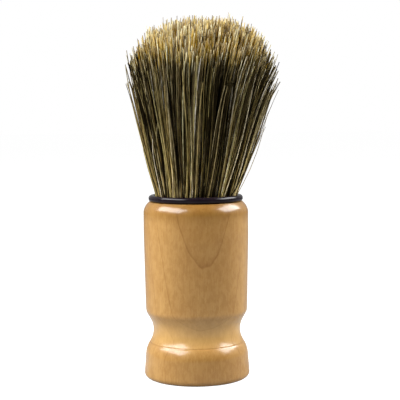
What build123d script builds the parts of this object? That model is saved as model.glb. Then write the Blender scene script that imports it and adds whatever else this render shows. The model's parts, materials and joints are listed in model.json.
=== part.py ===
from build123d import *
from math import sqrt
import os

# A shaving brush standing on its handle, in millimetres. Z is up, along the brush's own axis, and the
# origin is the centre of the flat face that it stands on. Every piece is turned about Z, so each is
# drawn as a half section in the XZ plane, with x as the radius.

# ---- turned wooden handle ----
BASE_RADIUS = 16.9
BASE_EDGE_ROUND = 1.6
LOWER_LIP_RADIUS = 16.25  # the lip of the waist groove on the foot's side
LOWER_LIP_HEIGHT = 9.4
LOWER_LIP_ROUND = 8.0
WAIST_HEIGHT = 15.3
WAIST_CORNER_RADIUS = 12.75  # where the two flanks of the groove would meet
WAIST_ROUND = 7.0
UPPER_LIP_RADIUS = 16.15
UPPER_LIP_HEIGHT = 21.3
UPPER_LIP_ROUND = 3.2
SHOULDER_RADIUS = 16.6
SHOULDER_HEIGHT = 52.5
SHOULDER_ROUND = 4.7
HANDLE_TOP_RADIUS = 14.8
HANDLE_HEIGHT = 56.1

# ---- blind socket in the handle's top, and what is set in it ----
SOCKET_RADIUS = 13.6
SOCKET_FLOOR = 38.0
GLUE_WALL = 0.25
GLUE_FLOOR = 0.4
GLUE_TOP = 54.0

# ---- black moulded ferrule: a cup with a rounded rim that sits on the handle ----
CUP_WALL = 1.0
CUP_FLOOR = 1.2
RIM_RADIUS = 14.95
RIM_HEIGHT = 2.1
RIM_ROUND = 1.0
MOUTH_ROUND = 0.5
MOUTH_RADIUS = 13.3
MOUTH_START = 54.0  # where the bore begins to open towards the rim

# ---- knot of bristles held in the cup ----
KNOT_RADIUS = 11.6
RESIN_FLOOR = 2.4
RESIN_TOP = 47.0
THREAD_DIAMETER = 0.6
THREAD_TURNS = 7
THREAD_START = 47.4
NECK_RADIUS = 13.0  # the tuft where it leaves the rim

# ---- outline of the free tuft ----
FLANK_MIDDLE = (18.3, 76.3)
WIDEST = (24.0, 92.5)
CROWN_SIDE = (23.2, 99.2)
CROWN_EDGE_RADIUS = 20.4
DOME_RADIUS = 29.5  # the dome is part of a ball centred on the axis
TUFT_HEIGHT = 114.9

# ---- the tuft bends at two places, each a ball-shaped joint between bands of bristle ----
LOWER_BEND_HEIGHT = 64.0
LOWER_BALL_RADIUS = 16.0
UPPER_BEND_HEIGHT = 80.0
UPPER_BALL_RADIUS = 20.0
BEND_GAP = 0.3  # clear space left between two bands

CUP_RADIUS = SOCKET_RADIUS - GLUE_WALL
CUP_BASE = SOCKET_FLOOR + GLUE_FLOOR
CUP_BORE = CUP_RADIUS - CUP_WALL
CUP_INSIDE_BASE = CUP_BASE + CUP_FLOOR
KNOT_BASE = CUP_INSIDE_BASE + RESIN_FLOOR
RIM_TOP = HANDLE_HEIGHT + RIM_HEIGHT


def turned(outline):
    """Revolve the closed half section that the outline's edges bound, about the brush's axis."""
    return revolve(make_face(Plane.XZ * outline), axis=Axis.Z)


def wood_handle():
    side = FilletPolyline(
        (0, 0),
        (BASE_RADIUS, 0),
        (LOWER_LIP_RADIUS, LOWER_LIP_HEIGHT),
        (WAIST_CORNER_RADIUS, WAIST_HEIGHT),
        (UPPER_LIP_RADIUS, UPPER_LIP_HEIGHT),
        (SHOULDER_RADIUS, SHOULDER_HEIGHT),
        radius=[BASE_EDGE_ROUND, LOWER_LIP_ROUND, WAIST_ROUND, UPPER_LIP_ROUND],
    )
    shoulder_start = (SHOULDER_RADIUS, SHOULDER_HEIGHT)
    shoulder = RadiusArc(shoulder_start, (HANDLE_TOP_RADIUS, HANDLE_HEIGHT), -SHOULDER_ROUND)
    top_and_socket = Polyline(
        (HANDLE_TOP_RADIUS, HANDLE_HEIGHT),
        (SOCKET_RADIUS, HANDLE_HEIGHT),
        (SOCKET_RADIUS, SOCKET_FLOOR),
        (0, SOCKET_FLOOR),
        (0, 0),
    )
    return turned(Curve() + [side, shoulder, top_and_socket])


def ferrule_adhesive():
    return turned(
        Polyline(
            (0, SOCKET_FLOOR),
            (SOCKET_RADIUS, SOCKET_FLOOR),
            (SOCKET_RADIUS, GLUE_TOP),
            (CUP_RADIUS, GLUE_TOP),
            (CUP_RADIUS, CUP_BASE),
            (0, CUP_BASE),
            close=True,
        )
    )


def collar_ferrule():
    """The cup's wall goes down into the socket and its rim rests on the handle's flat top."""
    section = FilletPolyline(
        (0, CUP_BASE),
        (CUP_RADIUS, CUP_BASE),
        (CUP_RADIUS, HANDLE_HEIGHT),
        (RIM_RADIUS, HANDLE_HEIGHT),
        (RIM_RADIUS, RIM_TOP),
        (MOUTH_RADIUS, RIM_TOP),
        (CUP_BORE, MOUTH_START),
        (CUP_BORE, CUP_INSIDE_BASE),
        (0, CUP_INSIDE_BASE),
        radius=[0, 0, RIM_ROUND, RIM_ROUND, MOUTH_ROUND, 0, 0],
    )
    axis_side = Line((0, CUP_INSIDE_BASE), (0, CUP_BASE))
    return turned(Curve() + [section, axis_side])


def potting_resin():
    """Resin under the butts of the bristles, and up round them."""
    return turned(
        Polyline(
            (0, CUP_INSIDE_BASE),
            (CUP_BORE, CUP_INSIDE_BASE),
            (CUP_BORE, RESIN_TOP),
            (KNOT_RADIUS, RESIN_TOP),
            (KNOT_RADIUS, KNOT_BASE),
            (0, KNOT_BASE),
            close=True,
        )
    )


def binding_thread():
    """Close turns of thread round the knot: a thin band whose outside is one bead for each turn."""
    thread_radius = THREAD_DIAMETER / 2
    outside = KNOT_RADIUS + thread_radius
    foot = THREAD_START
    outline = [Line((outside, foot), (KNOT_RADIUS, foot))]
    for turn in range(THREAD_TURNS):
        low = foot + turn * THREAD_DIAMETER
        crest = (outside + thread_radius, low + thread_radius)
        high = low + THREAD_DIAMETER
        outline.append(ThreePointArc((outside, low), crest, (outside, high)))
    top = foot + THREAD_TURNS * THREAD_DIAMETER
    outline.append(Polyline((outside, top), (KNOT_RADIUS, top), (KNOT_RADIUS, foot)))
    return turned(Curve() + outline)


def knot_section():
    """Half section of all the bristles together, from their butts in the cup to the domed tips."""
    dome_centre = TUFT_HEIGHT - DOME_RADIUS
    crown_edge = (CROWN_EDGE_RADIUS, dome_centre + sqrt(DOME_RADIUS**2 - CROWN_EDGE_RADIUS**2))
    neck = Polyline(
        (0, KNOT_BASE),
        (KNOT_RADIUS, KNOT_BASE),
        (KNOT_RADIUS, MOUTH_START),
        (NECK_RADIUS, RIM_TOP),
    )
    flank = ThreePointArc((NECK_RADIUS, RIM_TOP), FLANK_MIDDLE, WIDEST)
    crown = ThreePointArc(WIDEST, CROWN_SIDE, crown_edge)
    dome = RadiusArc(crown_edge, (0, TUFT_HEIGHT), -DOME_RADIUS)
    axis_side = Line((0, TUFT_HEIGHT), (0, KNOT_BASE))
    return make_face(Curve() + [neck, flank, crown, dome, axis_side])


def inside_of_bend(height, radius):
    """Section of what lies under a ball-shaped joint: the ball itself and everything below its centre."""
    reach = 2 * TUFT_HEIGHT
    below = Pos(0, height - reach / 2) * Rectangle(reach, reach)
    return Pos(0, height) * Circle(radius) + below


def bristle_bands():
    """The knot cut into the root that the cup holds and the two bands that bend above it."""
    knot = knot_section()
    half_gap = BEND_GAP / 2
    root = knot & inside_of_bend(LOWER_BEND_HEIGHT, LOWER_BALL_RADIUS - half_gap)
    lower = knot - inside_of_bend(LOWER_BEND_HEIGHT, LOWER_BALL_RADIUS + half_gap)
    lower = lower & inside_of_bend(UPPER_BEND_HEIGHT, UPPER_BALL_RADIUS - half_gap)
    upper = knot - inside_of_bend(UPPER_BEND_HEIGHT, UPPER_BALL_RADIUS + half_gap)
    return [revolve(Plane.XZ * section, axis=Axis.Z) for section in (root, lower, upper)]


root, lower, upper = bristle_bands()
PIECES = {
    "wood_handle": wood_handle(),
    "ferrule_adhesive": ferrule_adhesive(),
    "collar_ferrule": collar_ferrule(),
    "potting_resin": potting_resin(),
    "binding_thread": binding_thread(),
    "bristle_root": root,
    "bristle_band_lower": lower,
    "bristle_band_upper": upper,
}

os.makedirs("parts", exist_ok=True)
for name, piece in PIECES.items():
    export_step(piece, f"parts/{name}.step")
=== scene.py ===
import json
import math
import bmesh
import bpy
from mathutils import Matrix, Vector, noise


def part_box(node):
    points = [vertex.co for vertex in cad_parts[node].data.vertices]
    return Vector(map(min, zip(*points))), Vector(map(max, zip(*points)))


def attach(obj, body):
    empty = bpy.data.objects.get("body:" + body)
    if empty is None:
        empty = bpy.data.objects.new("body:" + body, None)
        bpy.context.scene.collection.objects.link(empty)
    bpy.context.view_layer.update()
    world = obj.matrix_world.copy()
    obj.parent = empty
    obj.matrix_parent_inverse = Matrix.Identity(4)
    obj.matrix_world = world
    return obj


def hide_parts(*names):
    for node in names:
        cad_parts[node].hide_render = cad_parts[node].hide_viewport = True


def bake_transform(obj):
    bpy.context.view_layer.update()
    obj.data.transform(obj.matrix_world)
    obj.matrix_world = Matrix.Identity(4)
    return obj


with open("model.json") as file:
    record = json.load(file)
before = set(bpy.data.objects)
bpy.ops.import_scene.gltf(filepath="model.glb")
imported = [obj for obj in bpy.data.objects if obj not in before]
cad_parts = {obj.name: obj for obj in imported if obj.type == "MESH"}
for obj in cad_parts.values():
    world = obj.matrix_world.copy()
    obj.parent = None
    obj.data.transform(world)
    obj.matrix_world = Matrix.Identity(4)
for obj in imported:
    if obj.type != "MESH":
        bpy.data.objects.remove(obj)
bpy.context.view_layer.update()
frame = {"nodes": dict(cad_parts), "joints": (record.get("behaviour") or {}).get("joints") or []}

MM = 0.001

# ---------------------------------------------------------------- driving sizes, in millimetres
HANDLE_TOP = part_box("wood_handle")[1].z / MM
RIM_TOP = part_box("collar_ferrule")[1].z / MM
TUFT_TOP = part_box("bristle_band_upper")[1].z / MM
LOWER_BEND, UPPER_BEND = (joint["pos_m"][2] / MM for joint in frame["joints"])

TURNING_STEPS = 256  # facets round a turned piece
ROUNDING_STEPS = 10  # segments in each rounded corner of an outline

# outline of the handle, from the foot up and down into the socket: radius, height, rounding
SOCKET_RADIUS = 13.6
SOCKET_FLOOR = 38.0
HANDLE_OUTLINE = [
    (0, 0, 0),
    (16.9, 0, 1.6),  # edge of the foot
    (16.25, 9.4, 8.0),  # lower lip of the waist
    (12.75, 15.3, 7.0),  # the waist, where its two flanks would meet
    (16.15, 21.3, 3.2),  # upper lip of the waist
    (16.6, 45.0, 0),
    (16.6, 54.68, 4.5),  # the shoulder
    (14.8, HANDLE_TOP, 0.15),
    (SOCKET_RADIUS, HANDLE_TOP, 0.2),
    (SOCKET_RADIUS, SOCKET_FLOOR, 0.3),
    (0, SOCKET_FLOOR, 0),
]

# the fine line scored round the top of the foot
LINE_HEIGHT = 11.4
LINE_HALF_WIDTH = 0.35
LINE_DEPTH = 0.07

# outline of the black cup: up its outside, over the rim and down its bore
CUP_RADIUS = 13.35
CUP_BORE = 12.35
CUP_BASE = 38.4
CUP_INSIDE_BASE = 39.6
RIM_RADIUS = 14.95
CUP_OUTLINE = [
    (0, CUP_BASE, 0),
    (CUP_RADIUS, CUP_BASE, 0.4),
    (CUP_RADIUS, HANDLE_TOP, 0),
    (RIM_RADIUS, HANDLE_TOP, 0.95),
    (RIM_RADIUS, RIM_TOP, 0.95),
    (13.3, RIM_TOP, 0.5),  # the mouth
    (CUP_BORE, 54.0, 1.0),
    (CUP_BORE, CUP_INSIDE_BASE, 0.4),
    (0, CUP_INSIDE_BASE, 0),
]

# the wood's growth rings: cones about a pith that stands behind the handle and leans away from it
RING_GAP = 4.41
FIRST_RING = 0.945
PITH_DISTANCE = 70.0
PITH_LEAN = 0.105
WAIST_SWING = 1.4  # how far the grain swings away from the pith on its way up through the waist
GRAIN_SWAY = 0.8
# the painted shade on the front of the handle turns with this too
GRAIN_TURN = -9  # degrees about the axis, so that the flat-sawn face isn't quite at the front

# the tuft
SECTORS = 8
BRISTLES_IN_SECTOR = 600
MOUTH_HEIGHT = 56.5  # where the bristles are first seen, just inside the rim
MOUTH_RADIUS = 12.3
CROWN_RADIUS = 22.9
CROWN_FOOT = 94.0
CROWN_FULLNESS = 2.35  # 2 would make the crown a plain ellipse
CROWN_DROP = 2.1  # the crown's mean height at the axis, below the highest tip
FAN_BULGE = -0.14  # how far the outer bristles arch outwards on their way to the tip; inwards below 0
PALE_FROM = 100.3  # the bristles turn pale above this height
SHORTEST_BRISTLE = 6.0
LEAN = 1.4  # sideways, to the right of the brush
TIP_LEAN = 1.1

# the tuft is uneven in patches: each size is how far across one is where the bristles leave the cup
TUFTED_SIZE = 1.1  # bristles that end together
TUFTED_HEIGHT = 8.5
SWELL_SIZE = 2.6  # the crown's own rise and fall
SWELL_HEIGHT = 5.0
LOCK_SIZE = 1.7  # bristles that lean together
LOCK_LEAN = 4.0
SHADE_SIZE = 1.3  # bristles of one shade
# painted shadow: bristles are darkened in patches this size, for the shade in the gaps between locks
SHADOW_GAP_SIZE = 3.0  # dark gaps

# some bristles are unlike their neighbours
WILD_SHARE = 0.04  # stray across the others
WILD_REACH = 2.4  # times as far as the others
WHITE_SHARE = 0.05  # bleached all the way up
LATE_SHARE = 0.35  # of the outer ones, turn pale higher up
TIP_THICKNESS = 0.58  # of the shaft's, since a bristle thins towards its tip

# the tuft bends between these heights; each bristle passes from one mesh to the next between the bends
SPLIT_HEIGHT = (LOWER_BEND + UPPER_BEND) / 2 - 0.5


# ---------------------------------------------------------------- short ways to wire nodes
class Board:
    """A node tree, with short ways to add nodes to it and wire them."""

    def __init__(self, tree):
        self.tree = tree

    def node(self, kind, feeds=None, **settings):
        """Add a node, set its properties, then feed its inputs by name or number."""
        made = self.tree.nodes.new(kind)
        for name, value in settings.items():
            setattr(made, name, value)
        for socket, value in (feeds or {}).items():
            self.feed(made.inputs[socket], value)
        return made

    def feed(self, socket, value):
        if isinstance(value, bpy.types.NodeSocket):
            self.tree.links.new(value, socket)
        else:
            socket.default_value = value

    def math(self, operation, first, second=0.0, third=0.0, clamp=False):
        made = self.node("ShaderNodeMath", operation=operation, use_clamp=clamp)
        for socket, value in zip(made.inputs, (first, second, third)):
            self.feed(socket, value)
        return made.outputs[0]

    def add(self, first, *rest):
        for value in rest:
            first = self.math("ADD", first, value)
        return first

    def times(self, first, *rest):
        for value in rest:
            first = self.math("MULTIPLY", first, value)
        return first

    def minus(self, first, second):
        return self.math("SUBTRACT", first, second)

    def over(self, first, second):
        return self.math("DIVIDE", first, second)

    def blend(self, factor, first, second):
        """first where factor is 0, second where it is 1."""
        return self.math("MULTIPLY_ADD", factor, self.minus(second, first), first)

    def step(self, value, low, high, low_result=0.0, high_result=1.0):
        """A smooth step from low_result at low to high_result at high."""
        feeds = {0: value, 1: low, 2: high, 3: low_result, 4: high_result}
        return self.node("ShaderNodeMapRange", feeds, interpolation_type="SMOOTHSTEP").outputs[0]

    def vector(self, x, y, z):
        return self.node("ShaderNodeCombineXYZ", {0: x, 1: y, 2: z}).outputs[0]

    def move(self, operation, first, second):
        return self.node("ShaderNodeVectorMath", {0: first, 1: second}, operation=operation).outputs[0]

    def grow(self, vector, size):
        made = self.node("ShaderNodeVectorMath", {0: vector}, operation="SCALE")
        self.feed(made.inputs["Scale"], size)
        return made.outputs[0]

    def mottle(self, vector, size, detail=2.0, roughness=0.5):
        """Noise in patches about 'size' across, as a value near 0.5 and as a colour."""
        feeds = {"Vector": vector, "Scale": 1.0 / size, "Detail": detail, "Roughness": roughness}
        return self.node("ShaderNodeTexNoise", feeds)

    def tint(self, factor, first, second, blend_type="MIX"):
        """Mix two colours."""
        made = self.node("ShaderNodeMix", data_type="RGBA", blend_type=blend_type)
        for socket, value in ((0, factor), (6, first), (7, second)):
            self.feed(made.inputs[socket], value)
        return made.outputs[2]

    def ramp(self, value, *stops):
        """A colour ramp through (place, red, green, blue) stops."""
        made = self.node("ShaderNodeValToRGB", {0: value})
        while len(made.color_ramp.elements) < len(stops):
            made.color_ramp.elements.new(0.5)
        for element, (place, *colour) in zip(made.color_ramp.elements, stops):
            element.position = place
            element.color = (*colour, 1.0)
        return made.outputs[0]


def new_tree(name, kind, inputs, outputs):
    """A node group with named inputs (name, type, value) and outputs (name, type)."""
    tree = bpy.data.node_groups.new(name, kind)
    for label, socket_type, value in inputs:
        socket = tree.interface.new_socket(label, in_out="INPUT", socket_type=socket_type)
        if value is not None:
            socket.default_value = value
    for label, socket_type in outputs:
        tree.interface.new_socket(label, in_out="OUTPUT", socket_type=socket_type)
    board = Board(tree)
    return board, board.node("NodeGroupInput").outputs, board.node("NodeGroupOutput").inputs


def new_material(name):
    """A material with nothing in it but its Principled shader and the output."""
    material = bpy.data.materials.new(name)
    material.use_nodes = True
    shader = material.node_tree.nodes["Principled BSDF"]
    return material, Board(material.node_tree), shader.inputs


# ---------------------------------------------------------------- effects that materials share
def make_uneven_tone_group():
    """Slow drift of a colour between two tints, as in anything natural or hand finished."""
    board, given, result = new_tree(
        "uneven tone",
        "ShaderNodeTree",
        [
            ("Place", "NodeSocketVector", None),
            ("Colour", "NodeSocketColor", (0.5, 0.5, 0.5, 1)),
            ("Deeper", "NodeSocketColor", (0.4, 0.4, 0.4, 1)),
            ("Patch Size", "NodeSocketFloat", 5.0),
            ("Strength", "NodeSocketFloat", 0.5),
        ],
        [("Colour", "NodeSocketColor")],
    )
    place = board.grow(given["Place"], board.over(1.0, given["Patch Size"]))
    patches = board.mottle(place, 1.0, detail=3.0).outputs[0]
    share = board.times(board.step(patches, 0.35, 0.65), given["Strength"])
    board.feed(result["Colour"], board.tint(share, given["Colour"], given["Deeper"]))
    return board.tree


def make_handling_group():
    """The faint smears and hair-thin rubs that a glossy surface picks up: a roughness and a height."""
    board, given, result = new_tree(
        "handling marks",
        "ShaderNodeTree",
        [
            ("Place", "NodeSocketVector", None),
            ("Roughness", "NodeSocketFloat", 0.3),
            ("Smear", "NodeSocketFloat", 0.1),
            ("Mark Size", "NodeSocketFloat", 4.0),
        ],
        [("Roughness", "NodeSocketFloat"), ("Height", "NodeSocketFloat")],
    )
    place = board.grow(given["Place"], board.over(1.0, given["Mark Size"]))
    smears = board.mottle(place, 1.0, detail=4.0, roughness=0.6).outputs[0]
    fine = board.mottle(board.move("MULTIPLY", place, (9.0, 9.0, 1.5)), 1.0, detail=2.0).outputs[0]
    smeared = board.times(board.minus(smears, 0.5), given["Smear"])
    board.feed(result["Roughness"], board.add(given["Roughness"], smeared))
    board.feed(result["Height"], board.add(board.times(smears, 0.7), board.times(fine, 0.3)))
    return board.tree


UNEVEN_TONE = make_uneven_tone_group()
HANDLING_MARKS = make_handling_group()


def millimetres(board):
    """The place on the object, in millimetres."""
    place = board.node("ShaderNodeTexCoord").outputs["Object"]
    return board.grow(place, 1.0 / MM)


def use(board, group, **feeds):
    """Place a shared group; underscores in the names of its inputs stand for spaces."""
    made = board.node("ShaderNodeGroup", node_tree=group)
    for name, value in feeds.items():
        board.feed(made.inputs[name.replace("_", " ")], value)
    return made.outputs


def bump(board, height, distance, strength=1.0):
    feeds = {"Height": height, "Distance": distance * MM, "Strength": strength}
    return board.node("ShaderNodeBump", feeds).outputs[0]


# ---------------------------------------------------------------- materials
DEEP_WOOD = (0.30, 0.140, 0.032, 1)
PALE_WOOD = (0.60, 0.375, 0.135, 1)


def growth_rings(board, place):
    """How dark the line that ends each year's growth is, and how far each place is behind the axis."""
    feeds = {"Vector": place, "Angle": math.radians(GRAIN_TURN)}
    turned = board.node("ShaderNodeVectorRotate", feeds, rotation_type="Z_AXIS").outputs[0]
    sway = board.mottle(board.move("MULTIPLY", place, (1.0, 1.0, 0.45)), 7.0).outputs[1]
    sway = board.grow(board.move("SUBTRACT", sway, (0.5, 0.5, 0.5)), GRAIN_SWAY)
    x, y, z = board.node("ShaderNodeSeparateXYZ", {0: board.move("ADD", turned, sway)}).outputs
    swing = board.step(z, 12.0, 17.0, 0.0, WAIST_SWING)
    behind = board.add(board.minus(PITH_DISTANCE, y), board.times(z, PITH_LEAN), swing)
    from_pith = board.math("SQRT", board.add(board.times(x, x), board.times(behind, behind)))
    rings = board.over(board.add(from_pith, FIRST_RING), RING_GAP)
    year = board.minus(1.0, board.math("FRACT", rings))
    late_wood = board.times(board.math("POWER", year, 9.0), 0.35)
    line = board.add(late_wood, board.step(year, 0.95, 0.985, 0.0, 0.7))
    return board.times(line, board.step(year, 0.985, 1.0, 1.0, 0.0)), y


def with_grain(board, place, colour):
    """The colour with fibres, curl and flecks, all longer up the grain, and the fibres by themselves."""
    fibres = board.mottle(board.move("MULTIPLY", place, (1.0, 1.0, 0.05)), 0.35, detail=3.0).outputs[0]
    curled = board.move("MULTIPLY", place, (1.0, 1.0, 0.6))
    curl = board.mottle(curled, 1.6, detail=3.0, roughness=0.65).outputs[0]
    flecks = board.mottle(board.move("MULTIPLY", place, (1.0, 1.0, 0.25)), 0.45, detail=1.0).outputs[0]
    colour = board.tint(board.step(fibres, 0.35, 0.65, 0.0, 0.20), colour, DEEP_WOOD)
    colour = board.tint(board.step(curl, 0.42, 0.62, 0.0, 0.16), colour, DEEP_WOOD)
    colour = board.tint(board.step(curl, 0.58, 0.40, 0.0, 0.14), colour, PALE_WOOD)
    colour = board.tint(board.times(board.step(flecks, 0.58, 0.72), 0.20), colour, DEEP_WOOD)
    colour = board.tint(board.times(board.step(flecks, 0.42, 0.28), 0.12), colour, PALE_WOOD)
    return colour, fibres


def with_stain_and_painted_light(board, place, depth, colour):
    """The colour as the stain took, with painted light and shade: darker on the ends, partly end grain and
    partly painted shade on the shoulder; painted shade on the flat face at the front and in the scored
    line; painted light in the waist.
    """
    upright = board.node("ShaderNodeSeparateXYZ", {0: place}).outputs[2]
    # darker at the shoulder and, less so, on the foot: partly end grain taking more stain, partly painted
    # shade on the shoulder, which faces up into the light
    end_grain_and_painted_shade = board.add(board.step(upright, 49.0, 54.0), board.step(upright, 11.0, 6.0, 0.0, 0.2))
    colour = board.tint(end_grain_and_painted_shade, colour, (0.74, 0.68, 0.52, 1), "MULTIPLY")
    # painted shade: the front of the handle, away from the waist, is darkened where the side lights leave
    # it dim
    off_the_waist = board.add(board.step(upright, 18.0, 26.0), board.step(upright, 12.0, 8.0))
    painted_front_shade = board.times(board.step(depth, -9.0, -16.0), off_the_waist)
    colour = board.tint(painted_front_shade, colour, (0.84, 0.80, 0.72, 1), "MULTIPLY")
    # painted light: the waist is tinted paler, in place of the light thrown up into it from the floor
    from_waist = board.math("ABSOLUTE", board.minus(upright, 16.2))
    colour = board.tint(board.step(from_waist, 2.5, 5.5, 0.36, 0.0), colour, PALE_WOOD)
    # painted shade in the scored line: the groove is in the geometry, and its darkness is painted
    from_line = board.math("ABSOLUTE", board.minus(upright, LINE_HEIGHT))
    scored = board.step(from_line, 0.10, LINE_HALF_WIDTH, 1.0, 0.0)
    return board.tint(board.times(scored, 0.28), colour, DEEP_WOOD)


def lacquered_wood():
    """Pale hardwood with a flat-sawn figure, fine upright flecks and a clear gloss lacquer."""
    material, board, shader = new_material("lacquered_hardwood")
    place = millimetres(board)
    golden = (0.475, 0.268, 0.083, 1)
    tawny = (0.440, 0.237, 0.068, 1)
    tone = use(board, UNEVEN_TONE, Place=place, Colour=golden, Deeper=tawny, Patch_Size=11.0, Strength=0.9)
    ring_line, depth = growth_rings(board, place)
    colour = board.tint(board.times(ring_line, 0.78), tone["Colour"], DEEP_WOOD)
    colour, fibres = with_grain(board, place, colour)
    board.feed(shader["Base Color"], with_stain_and_painted_light(board, place, depth, colour))

    marks = use(board, HANDLING_MARKS, Place=place, Roughness=0.42, Smear=0.18, Mark_Size=5.0)
    board.feed(shader["Roughness"], marks["Roughness"])
    grain_height = board.add(board.times(fibres, 0.6), board.times(ring_line, -0.5))
    board.feed(shader["Normal"], bump(board, grain_height, 0.03, 0.6))
    shader["Specular IOR Level"].default_value = 0.15
    shader["Coat Weight"].default_value = 0.8
    shader["Coat Roughness"].default_value = 0.19
    return material


def black_plastic():
    """Glossy moulded black with a hint of purple."""
    material, board, shader = new_material("black_moulding")
    place = millimetres(board)
    tone = use(
        board,
        UNEVEN_TONE,
        Place=place,
        Colour=(0.008, 0.005, 0.008, 1),
        Deeper=(0.016, 0.010, 0.014, 1),
        Patch_Size=3.0,
        Strength=0.7,
    )
    board.feed(shader["Base Color"], tone["Colour"])
    marks = use(board, HANDLING_MARKS, Place=place, Roughness=0.12, Smear=0.10, Mark_Size=2.0)
    board.feed(shader["Roughness"], marks["Roughness"])
    board.feed(shader["Normal"], bump(board, marks["Height"], 0.03, 0.35))
    shader["Specular IOR Level"].default_value = 0.2
    return material


def poured(name, colour, deeper, roughness):
    """A set resin or glue: cloudy, with small bubbles under the skin."""
    material, board, shader = new_material(name)
    place = millimetres(board)
    tone = use(board, UNEVEN_TONE, Place=place, Colour=colour, Deeper=deeper, Patch_Size=2.5, Strength=0.9)
    cells = board.node("ShaderNodeTexVoronoi", {"Vector": place, "Scale": 1.6})
    bubbles = board.step(cells.outputs["Distance"], 0.10, 0.16, 1.0, 0.0)
    lighter = tuple(min(1.0, channel * 1.5) for channel in colour[:3]) + (1,)
    board.feed(shader["Base Color"], board.tint(board.times(bubbles, 0.5), tone["Colour"], lighter))
    marks = use(board, HANDLING_MARKS, Place=place, Roughness=roughness, Smear=0.2, Mark_Size=2.0)
    board.feed(shader["Roughness"], marks["Roughness"])
    board.feed(shader["Normal"], bump(board, board.add(marks["Height"], bubbles), 0.05, 0.5))
    return material


def waxed_thread():
    """Natural thread: short slanting strands twisted round each turn."""
    material, board, shader = new_material("waxed_thread")
    place = millimetres(board)
    x, y, z = board.node("ShaderNodeSeparateXYZ", {0: place}).outputs
    knot_radius = 11.9
    strand_gap = 0.45
    round_the_knot = board.times(board.math("ARCTAN2", y, x), knot_radius)
    slant = board.add(round_the_knot, board.times(z, 0.9))
    strand = board.math("SINE", board.times(slant, 2 * math.pi / strand_gap))
    tone = use(
        board,
        UNEVEN_TONE,
        Place=place,
        Colour=(0.80, 0.74, 0.58, 1),
        Deeper=(0.66, 0.58, 0.42, 1),
        Patch_Size=1.5,
        Strength=0.8,
    )
    # painted shade: the thread is darker in the grooves between its strands
    shade = board.step(strand, -1.0, 0.2, 0.55, 0.0)
    board.feed(shader["Base Color"], board.tint(shade, tone["Colour"], (0.38, 0.31, 0.20, 1)))
    shader["Roughness"].default_value = 0.7
    board.feed(shader["Normal"], bump(board, strand, 0.06, 0.8))
    return material


def shaft_colour(board, stored):
    """Black, brown, grey or straw, with a slight hue of the bristle's own."""
    shaft = board.ramp(
        stored("tone"),
        (0.00, 0.004, 0.0025, 0.0008),
        (0.30, 0.010, 0.007, 0.003),
        (0.44, 0.075, 0.058, 0.027),
        (0.60, 0.260, 0.210, 0.105),
        (0.76, 0.480, 0.410, 0.240),
        (0.88, 0.780, 0.720, 0.560),
        (1.00, 0.950, 0.930, 0.860),
    )
    hue = board.ramp(
        stored("hue"),
        (0.00, 1.00, 0.86, 0.60),
        (0.35, 0.92, 0.92, 0.66),
        (0.70, 1.00, 0.94, 0.84),
        (1.00, 0.98, 0.98, 1.00),
    )
    shaft = board.tint(1.0, shaft, hue, "MULTIPLY")
    # painted light: shafts are made lighter near the root, to lift the shade that falls there
    painted_root_light = board.step(stored("grown"), 0.1, 0.75, 0.78, 0.0)
    return board.tint(painted_root_light, shaft, (2.0, 1.95, 1.8, 1), "MULTIPLY")


def tip_colour(board, stored):
    """Tawny, gold or cream, paler at the very end."""
    tip = board.ramp(
        stored("tip_tone"),
        (0.00, 0.08, 0.040, 0.003),
        (0.30, 0.35, 0.195, 0.010),
        (0.62, 0.80, 0.540, 0.085),
        (1.00, 1.00, 0.950, 0.640),
    )
    very_end = board.step(stored("to_tip"), 0.0, 2.5, 0.25, 0.0)
    return board.tint(very_end, tip, (1.0, 0.94, 0.72, 1))


def bristle():
    """Stiff hog's hair, dark in the shaft and pale at the tip, streaked along its length."""
    material, board, shader = new_material("bristle")

    def stored(name):
        return board.node("ShaderNodeAttribute", attribute_name=name).outputs["Fac"]

    along = board.move("MULTIPLY", millimetres(board), (2.0, 2.0, 0.35))
    streaks = board.mottle(along, 1.0).outputs[0]
    above_dark = board.add(stored("above_dark"), board.times(board.minus(streaks, 0.5), 4.0))
    shaft = shaft_colour(board, stored)
    colour = board.tint(board.step(above_dark, -1.8, 1.8), shaft, tip_colour(board, stored))
    streak = board.step(streaks, 0.42, 0.60, 0.0, 0.7)
    board.feed(shader["Base Color"], board.tint(streak, colour, (0.4, 0.38, 0.34, 1), "MULTIPLY"))
    shader["Roughness"].default_value = 0.33
    shader["Specular IOR Level"].default_value = 0.08
    shader["Specular Tint"].default_value = (1.0, 0.84, 0.55, 1)
    return material


WOOD = lacquered_wood()
BLACK = black_plastic()
GLUE = poured("set_adhesive", (0.62, 0.50, 0.28, 1), (0.48, 0.36, 0.18, 1), 0.35)
RESIN = poured("set_resin", (0.30, 0.15, 0.05, 1), (0.18, 0.08, 0.03, 1), 0.25)
THREAD = waxed_thread()
BRISTLE = bristle()


# ---------------------------------------------------------------- turned pieces
def rounded(corners):
    """Points of an outline whose corners (radius, height, rounding) are replaced with arcs."""
    points = []
    for i, (x, y, rounding) in enumerate(corners):
        corner = Vector((x, y))
        if rounding == 0:
            points.append(corner)
            continue
        before = (Vector(corners[i - 1][:2]) - corner).normalized()
        after = (Vector(corners[i + 1][:2]) - corner).normalized()
        half = before.angle(after) / 2
        centre = corner + (before + after).normalized() * rounding / math.sin(half)
        start = corner + before * rounding / math.tan(half) - centre
        sweep = start.angle_signed(corner + after * rounding / math.tan(half) - centre)
        for step in range(ROUNDING_STEPS + 1):
            turn = -sweep * step / ROUNDING_STEPS
            cos, sin = math.cos(turn), math.sin(turn)
            points.append(centre + Vector((start.x * cos - start.y * sin, start.x * sin + start.y * cos)))
    return points


def with_short_steps(points, longest):
    """The same outline with its long straight runs divided."""
    result = [points[0]]
    for point in points[1:]:
        run = point - result[-1]
        count = max(1, math.ceil(run.length / longest))
        start = result[-1]
        result += [start + run * (n / count) for n in range(1, count + 1)]
    return result


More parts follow.
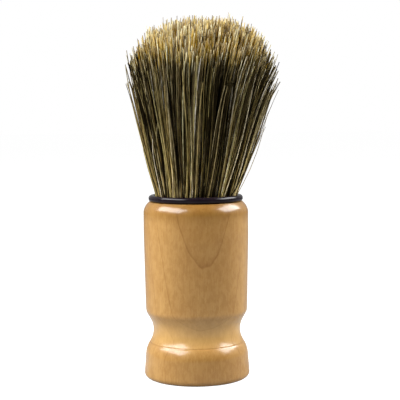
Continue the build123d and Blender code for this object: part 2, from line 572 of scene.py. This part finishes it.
def with_scored_line(points):
    """The same outline with the fine line cut in where it passes that height on the outside."""
    result = []
    for before, point in zip(points, points[1:]):
        result.append(before)
        from_line = abs((before.y + point.y) / 2 - LINE_HEIGHT)
        reach = LINE_HALF_WIDTH + abs(before.y - point.y) / 2
        if from_line < reach and before.x > SOCKET_RADIUS:
            result += with_short_steps([before, point], LINE_HALF_WIDTH / 5)[1:-1]
    result.append(points[-1])
    for point in result:
        share = min(1.0, abs(point.y - LINE_HEIGHT) / LINE_HALF_WIDTH)
        point.x -= LINE_DEPTH * (1 - share * share) ** 2
    return result


def turned_piece(name, points, material, unevenness=0.0):
    """Turn an outline about the brush's axis, with the slight unevenness that sanding leaves."""
    shape = bmesh.new()
    rings = []
    for point in points:
        radius, height = point
        if radius < 1e-6:
            rings.append([shape.verts.new((0, 0, height * MM))])
            continue
        ring = []
        for step in range(TURNING_STEPS):
            angle = 2 * math.pi * step / TURNING_STEPS
            around = Vector((math.cos(angle), math.sin(angle), 0))
            place = around * radius + Vector((0, 0, height))
            wave = noise.noise(place * 0.16) + 0.4 * noise.noise(place * 0.5)
            ring.append(shape.verts.new((place + around * wave * unevenness) * MM))
        rings.append(ring)
    for low, high in zip(rings, rings[1:]):
        for step in range(TURNING_STEPS):
            after = (step + 1) % TURNING_STEPS
            if len(low) == 1:
                shape.faces.new((low[0], high[after], high[step]))
            elif len(high) == 1:
                shape.faces.new((low[step], low[after], high[0]))
            else:
                shape.faces.new((low[step], low[after], high[after], high[step]))
    bmesh.ops.recalc_face_normals(shape, faces=shape.faces)
    for face in shape.faces:
        face.smooth = True
    mesh = bpy.data.meshes.new(name)
    shape.to_mesh(mesh)
    shape.free()
    mesh.materials.append(material)
    piece = bpy.data.objects.new(name, mesh)
    bpy.context.scene.collection.objects.link(piece)
    return piece


# ---------------------------------------------------------------- bristles
# each random value of a bristle has a number of its own, so that none repeats another
SALTS = {
    "root out": 1,
    "root angle": 2,
    "tip out": 3,
    "worn short": 4,
    "ragged": 5,
    "drift x": 6,
    "drift y": 7,
    "bow x": 8,
    "bow y": 9,
    "tone": 11,
    "late": 12,
    "pale from": 13,
    "tip tone": 14,
    "thickness": 15,
    "wild": 16,
    "hue": 17,
    "white": 18,
}


class BristleTree:
    """Geometry nodes that grow one sector of the tuft, between two heights, as closed tapered hairs."""

    def __init__(self):
        self.board, self.given, result = new_tree(
            "grow bristles",
            "GeometryNodeTree",
            [
                ("Geometry", "NodeSocketGeometry", None),
                ("Count", "NodeSocketInt", BRISTLES_IN_SECTOR),
                ("Seed", "NodeSocketInt", 1),
                ("Sector Start", "NodeSocketFloat", 0.0),
                ("Sector Width", "NodeSocketFloat", 2 * math.pi / SECTORS),
                ("Innermost", "NodeSocketFloat", 0.0),
                ("From Height", "NodeSocketFloat", MOUTH_HEIGHT),
                ("To Height", "NodeSocketFloat", TUFT_TOP * 2),
                ("Points", "NodeSocketInt", 7),
                ("Shaft Radius", "NodeSocketFloat", 0.18),
                ("Crown Radius", "NodeSocketFloat", CROWN_RADIUS),
                ("Crown Foot", "NodeSocketFloat", CROWN_FOOT),
                ("Crown Top", "NodeSocketFloat", TUFT_TOP - CROWN_DROP),
                ("Bulge", "NodeSocketFloat", FAN_BULGE),
                ("Bow", "NodeSocketFloat", 0.7),
                ("Dark Tips", "NodeSocketFloat", 0.0),
                ("Lightness", "NodeSocketFloat", 1.0),
                ("Material", "NodeSocketMaterial", None),
            ],
            [("Geometry", "NodeSocketGeometry")],
        )
        self.hair = self.named("hair", "INT")
        hairs = self.straight_lines()
        self.find_ends()
        self.find_stretch()
        hairs = self.fan_out(hairs)
        hairs = self.shade(hairs)
        self.board.feed(result["Geometry"], self.tubes(hairs))

    def named(self, name, kind="FLOAT"):
        made = self.board.node("GeometryNodeInputNamedAttribute", {"Name": name}, data_type=kind)
        return made.outputs[0]

    def store(self, geometry, name, value, kind="FLOAT"):
        feeds = {"Geometry": geometry, "Name": name, "Value": value}
        made = self.board.node("GeometryNodeStoreNamedAttribute", feeds, data_type=kind, domain="POINT")
        return made.outputs[0]

    def random(self, name, low=0.0, high=1.0):
        """A value for each hair, the same at every point of it."""
        made = self.board.node("FunctionNodeRandomValue", data_type="FLOAT")
        seed = self.board.math("MULTIPLY_ADD", self.given["Seed"], 97.0, float(SALTS[name]))
        for socket, value in ((2, low), (3, high), (7, self.hair), (8, seed)):
            self.board.feed(made.inputs[socket], value)
        return made.outputs[1]

    def patches(self, size, detail=1.0):
        """A value and a colour that neighbouring hairs share, in patches of the mouth."""
        return self.board.mottle(self.root, size, detail=detail).outputs

    def at(self, radius, height):
        board = self.board
        return board.vector(board.times(radius, self.cos), board.times(radius, self.sin), height)

    def straight_lines(self):
        """One straight line for each hair, numbered."""
        board, given = self.board, self.given
        roots = board.node("GeometryNodePoints", {"Count": given["Count"]}).outputs[0]
        roots = self.store(roots, "hair", board.node("GeometryNodeInputIndex").outputs[0], "INT")
        line = board.node("GeometryNodeCurvePrimitiveLine", {"End": (0.0, 0.0, 1.0)}).outputs[0]
        feeds = {"Curve": line, "Count": given["Points"]}
        line = board.node("GeometryNodeResampleCurve", feeds).outputs[0]
        line = self.store(line, "share", board.node("GeometryNodeSplineParameter").outputs["Factor"])
        hairs = board.node("GeometryNodeInstanceOnPoints", {"Points": roots, "Instance": line}).outputs[0]
        return board.node("GeometryNodeRealizeInstances", {"Geometry": hairs}).outputs[0]

    def find_ends(self):
        """Where each hair stands in the mouth, and where its tip is on the crown."""
        board, given = self.board, self.given
        self.out = board.blend(board.math("SQRT", self.random("root out")), given["Innermost"], 1.0)
        share_of_sector = board.times(self.random("root angle"), given["Sector Width"])
        angle = board.add(given["Sector Start"], share_of_sector)
        self.cos = board.math("COSINE", angle)
        self.sin = board.math("SINE", angle)
        self.root_radius = board.times(self.out, MOUTH_RADIUS)
        # the seed stands in for a height here, so that no two meshes share their patches
        self.root = self.at(self.root_radius, given["Seed"])

        self.tip_out = board.math("ADD", self.out, self.random("tip out", -0.05, 0.03), clamp=True)
        self.tip_radius = board.times(self.tip_out, given["Crown Radius"])
        fall = board.minus(1.0, board.math("POWER", self.tip_out, CROWN_FULLNESS))
        dome = board.math("POWER", board.math("MAXIMUM", fall, 0.0), 1 / CROWN_FULLNESS)
        rise = board.minus(given["Crown Top"], given["Crown Foot"])
        worn_short = board.times(board.math("POWER", self.random("worn short"), 4.0), -4.0)
        ragged = board.add(self.random("ragged", -0.9, 0.5), worn_short)
        tufted = board.times(board.minus(self.patches(TUFTED_SIZE)[0], 0.5), TUFTED_HEIGHT)
        swell = board.minus(self.patches(SWELL_SIZE, detail=0.0)[0], 0.5)
        swell = board.times(swell, SWELL_HEIGHT)
        tip_height = board.add(given["Crown Foot"], board.times(dome, rise), ragged, tufted, swell)
        self.tip_height = board.math("MAXIMUM", tip_height, MOUTH_HEIGHT + SHORTEST_BRISTLE)

    def find_stretch(self):
        """The stretch of each hair that this mesh holds; a hair that ends below it is too short."""
        board, given = self.board, self.given
        low = board.math("MAXIMUM", given["From Height"], MOUTH_HEIGHT)
        high = board.math("MINIMUM", given["To Height"], self.tip_height)
        self.too_short = board.math("LESS_THAN", self.tip_height, board.add(low, 0.5))
        self.height = board.blend(self.named("share"), low, high)
        length = board.minus(self.tip_height, MOUTH_HEIGHT)
        self.grown = board.over(board.minus(self.height, MOUTH_HEIGHT), length)

    def fan_out(self, hairs):
        """Bend each straight line into its hair's own path."""
        board, given, grown = self.board, self.given, self.grown
        # the hair fans out, the outer ones in a shallow arch
        arch = board.minus(grown, board.math("POWER", grown, 6.0))
        fan = board.add(grown, board.times(arch, given["Bulge"], board.times(self.out, self.out)))
        place = self.at(board.blend(fan, self.root_radius, self.tip_radius), self.height)

        # hairs that start side by side lean together into locks; each also drifts and bows by itself
        locks = board.move("SUBTRACT", self.patches(LOCK_SIZE)[1], (0.5, 0.5, 0.5))
        wild = board.math("GREATER_THAN", self.random("wild"), 1 - WILD_SHARE)
        wild = board.blend(wild, 1.0, WILD_REACH)
        drift = board.vector(self.random("drift x", -1.8, 1.8), self.random("drift y", -1.8, 1.8), 0.0)
        bow = board.vector(self.random("bow x", -1.0, 1.0), self.random("bow y", -1.0, 1.0), 0.0)
        bow = board.grow(bow, given["Bow"])
        bowed = board.math("SINE", board.times(grown, math.pi))
        sideways = board.move("MULTIPLY", board.grow(locks, grown), (LOCK_LEAN, LOCK_LEAN, 0.0))
        place = board.move("ADD", place, sideways)
        place = board.move("ADD", place, board.grow(drift, board.times(grown, wild)))
        place = board.move("ADD", place, board.grow(bow, board.times(bowed, wild)))

        # the whole tuft leans to one side
        early = board.minus(1.0, board.math("POWER", board.minus(1.0, grown), 2.5))
        lean = board.add(board.times(early, LEAN), board.times(board.math("POWER", grown, 5.0), TIP_LEAN))
        place = board.move("ADD", place, board.vector(lean, 0.0, 0.0))

        feeds = {"Geometry": hairs, "Position": board.grow(place, MM)}
        hairs = board.node("GeometryNodeSetPosition", feeds).outputs[0]
        feeds = {"Geometry": hairs, "Selection": self.too_short}
        return board.node("GeometryNodeDeleteGeometry", feeds, domain="POINT").outputs[0]

    def shade(self, hairs):
        """Store what the bristle material reads."""
        board, given = self.board, self.given
        clumped = board.step(self.patches(SHADE_SIZE)[0], 0.35, 0.65)
        # painted shadow: bristles are darkened in patches, for the shade in the gaps between locks
        painted_gap_shadow = board.step(self.patches(SHADOW_GAP_SIZE, detail=0.0)[0], 0.34, 0.44, 0.66, 1.0)
        white = board.times(board.math("GREATER_THAN", self.random("white"), 1 - WHITE_SHARE), 0.45)
        tone = board.times(board.blend(0.35, self.random("tone"), clumped), painted_gap_shadow, given["Lightness"])
        outer = board.step(self.tip_out, 0.78, 0.92)
        late = board.times(outer, board.math("LESS_THAN", self.random("late"), LATE_SHARE), 3.5)
        pale_from = board.add(PALE_FROM, self.random("pale from", -3.5, 2.0), late, given["Dark Tips"])
        values = {
            "tone": board.add(tone, white),
            "tip_tone": board.step(board.blend(0.25, self.random("tip tone"), clumped), 0.08, 0.92),
            "hue": self.random("hue"),
            "grown": self.grown,
            "to_tip": board.minus(self.tip_height, self.height),
            "above_dark": board.minus(self.height, pale_from),
        }
        for name, value in values.items():
            hairs = self.store(hairs, name, value)
        return hairs

    def tubes(self, hairs):
        """A thin tapered tube round each line."""
        board, given = self.board, self.given
        taper = board.step(self.grown, 0.6, 1.0, 1.0, TIP_THICKNESS)
        thick = board.times(given["Shaft Radius"], self.random("thickness", 0.65, 1.4), taper, MM)
        feeds = {"Resolution": 4, "Radius": 1.0}
        profile = board.node("GeometryNodeCurvePrimitiveCircle", feeds).outputs[0]
        feeds = {"Curve": hairs, "Profile Curve": profile, "Scale": thick, "Fill Caps": True}
        tubes = board.node("GeometryNodeCurveToMesh", feeds).outputs[0]
        for helper in ("hair", "share"):
            feeds = {"Geometry": tubes, "Name": helper}
            tubes = board.node("GeometryNodeRemoveAttribute", feeds).outputs[0]
        tubes = board.node("GeometryNodeSetShadeSmooth", {"Geometry": tubes}).outputs[0]
        tubes = board.node("GeometryNodeRealizeInstances", {"Geometry": tubes}).outputs[0]
        feeds = {"Geometry": tubes, "Material": given["Material"]}
        return board.node("GeometryNodeSetMaterial", feeds).outputs[0]


BRISTLE_TREE = BristleTree().board.tree


def grow(name, tree, **values):
    """Run a geometry-node tree with the given inputs and keep its result as a plain mesh."""
    holder = bpy.data.objects.new(name + "_holder", bpy.data.meshes.new(name + "_holder"))
    bpy.context.scene.collection.objects.link(holder)
    modifier = holder.modifiers.new("grow", "NODES")
    modifier.node_group = tree
    for item in tree.interface.items_tree:
        key = item.name.replace(" ", "_").lower()
        if item.item_type == "SOCKET" and item.in_out == "INPUT" and key in values:
            modifier[item.identifier] = values[key]
    depsgraph = bpy.context.evaluated_depsgraph_get()
    mesh = bpy.data.meshes.new_from_object(holder.evaluated_get(depsgraph), depsgraph=depsgraph)
    mesh.name = name
    holder_mesh = holder.data
    bpy.data.objects.remove(holder)
    bpy.data.meshes.remove(holder_mesh)
    piece = bpy.data.objects.new(name, mesh)
    bpy.context.scene.collection.objects.link(piece)
    return piece


def bend(piece):
    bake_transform(piece)


def bristle_pair(label, **values):
    """The lower and the upper stretch of the same hairs, as two meshes that meet between the bends."""
    values["material"] = BRISTLE
    lower = grow(f"bristles_lower_{label}", BRISTLE_TREE, to_height=SPLIT_HEIGHT, points=4, **values)
    bend(lower)
    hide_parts("bristle_root", "bristle_band_lower")
    upper = grow(f"bristles_upper_{label}", BRISTLE_TREE, from_height=SPLIT_HEIGHT, points=7, **values)
    bend(upper)
    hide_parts("bristle_band_upper")


# ---------------------------------------------------------------- the camera, the light and the floor
def point_camera():
    camera = bpy.data.objects.new("camera", bpy.data.cameras.new("camera"))
    bpy.context.scene.collection.objects.link(camera)
    camera.data.sensor_width = 36
    camera.data.lens = 99.45
    camera.data.clip_start = 0.01
    camera.location = Vector((1.58, -350.0, 82.4)) * MM
    tilt_down = 4.24
    roll = 0.48
    camera.rotation_euler = (math.radians(90 - tilt_down), math.radians(roll), 0)
    bpy.context.scene.camera = camera


def softbox(name, azimuth, elevation, distance, width, height, power):
    """A soft rectangular light that faces the tuft's foot; azimuth 0 is the camera's side."""
    light = bpy.data.lights.new(name, "AREA")
    light.shape = "RECTANGLE"
    light.size = width
    light.size_y = height
    light.energy = power
    lamp = bpy.data.objects.new(name, light)
    bpy.context.scene.collection.objects.link(lamp)
    around, up = math.radians(azimuth), math.radians(elevation)
    away = Vector((math.sin(around) * math.cos(up), -math.cos(around) * math.cos(up), math.sin(up)))
    lamp.location = Vector((0, 0, HANDLE_TOP * MM)) + away * distance
    lamp.rotation_euler = away.to_track_quat("Z", "Y").to_euler()


def light_studio():
    """Two broad softboxes, one each side of the brush, and a white room that is dark in front."""
    softbox("left_softbox", -67, 40, 0.60, 0.68, 0.32, 8.5)
    softbox("right_softbox", 96, 36, 0.60, 0.56, 0.32, 6.7)
    world = bpy.data.worlds.new("studio")
    bpy.context.scene.world = world
    world.use_nodes = True
    board = Board(world.node_tree)
    background = world.node_tree.nodes["Background"]
    direction = board.node("ShaderNodeTexCoord").outputs["Generated"]
    towards_back = board.node("ShaderNodeSeparateXYZ", {0: direction}).outputs[1]
    room = board.step(towards_back, -0.4, 0.5, 0.02, 0.33)
    seen = board.node("ShaderNodeLightPath").outputs["Is Camera Ray"]
    board.feed(background.inputs["Strength"], board.blend(seen, room, 1.0))
    background.inputs["Color"].default_value = (1, 1, 1, 1)
    bpy.context.scene.view_settings.view_transform = "Standard"


def lay_floor():
    """A wide pale floor that is lit up just enough to meet the white room without a line."""
    mesh = bpy.data.meshes.new("floor")
    reach = 6.0
    corners = [(-reach, -reach, 0), (reach, -reach, 0), (reach, reach, 0), (-reach, reach, 0)]
    mesh.from_pydata(corners, [], [(0, 1, 2, 3)])
    material, board, shader = new_material("pale_floor")
    place = board.node("ShaderNodeTexCoord").outputs["Object"]
    distance = board.node("ShaderNodeVectorMath", {0: place}, operation="LENGTH").outputs["Value"]
    cloud = board.mottle(place, 0.4, detail=2.0).outputs[0]
    far = board.tint(cloud, (0.19, 0.19, 0.19, 1), (0.23, 0.23, 0.23, 1))
    near = board.step(distance, 0.04, 0.16, 1.0, 0.0)
    board.feed(shader["Base Color"], board.tint(near, far, (0.35, 0.35, 0.35, 1)))
    shader["Roughness"].default_value = 0.9
    shader["Specular IOR Level"].default_value = 0.0
    shader["Emission Color"].default_value = (1, 1, 1, 1)
    seen = board.node("ShaderNodeLightPath").outputs["Is Camera Ray"]
    board.feed(shader["Emission Strength"], board.times(seen, 0.96))
    mesh.materials.append(material)
    floor = bpy.data.objects.new("floor", mesh)
    bpy.context.scene.collection.objects.link(floor)


# ---------------------------------------------------------------- the brush
point_camera()
light_studio()
lay_floor()

handle_outline = with_scored_line(with_short_steps(rounded(HANDLE_OUTLINE), 1.0))
handle = turned_piece("turned_handle", handle_outline, WOOD, unevenness=0.03)
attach(handle, "handle")
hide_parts("wood_handle")

cup_outline = with_short_steps(rounded(CUP_OUTLINE), 1.0)
collar = turned_piece("collar_ring", cup_outline, BLACK, unevenness=0.012)
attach(collar, "handle")
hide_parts("collar_ferrule")

for node, material in (("ferrule_adhesive", GLUE), ("potting_resin", RESIN), ("binding_thread", THREAD)):
    frame["nodes"][node].data.materials.clear()
    frame["nodes"][node].data.materials.append(material)

for sector in range(SECTORS):
    bristle_pair(str(sector + 1), seed=sector + 1, sector_start=2 * math.pi * sector / SECTORS)
bristle_pair(
    "rim",
    seed=40,
    count=110,
    sector_width=2 * math.pi,
    innermost=0.95,
    shaft_radius=0.16,
    crown_radius=23.4,
    crown_foot=93.5,
    bulge=0.0,
    dark_tips=20.0,
    lightness=0.8,
)

bristle_pair(
    "loose",
    seed=61,
    count=40,
    sector_width=2 * math.pi,
    innermost=0.97,
    shaft_radius=0.11,
    crown_radius=19.2,
    crown_foot=79.0,
    crown_top=100.0,
    bulge=0.08,
    bow=1.3,
    dark_tips=20.0,
)
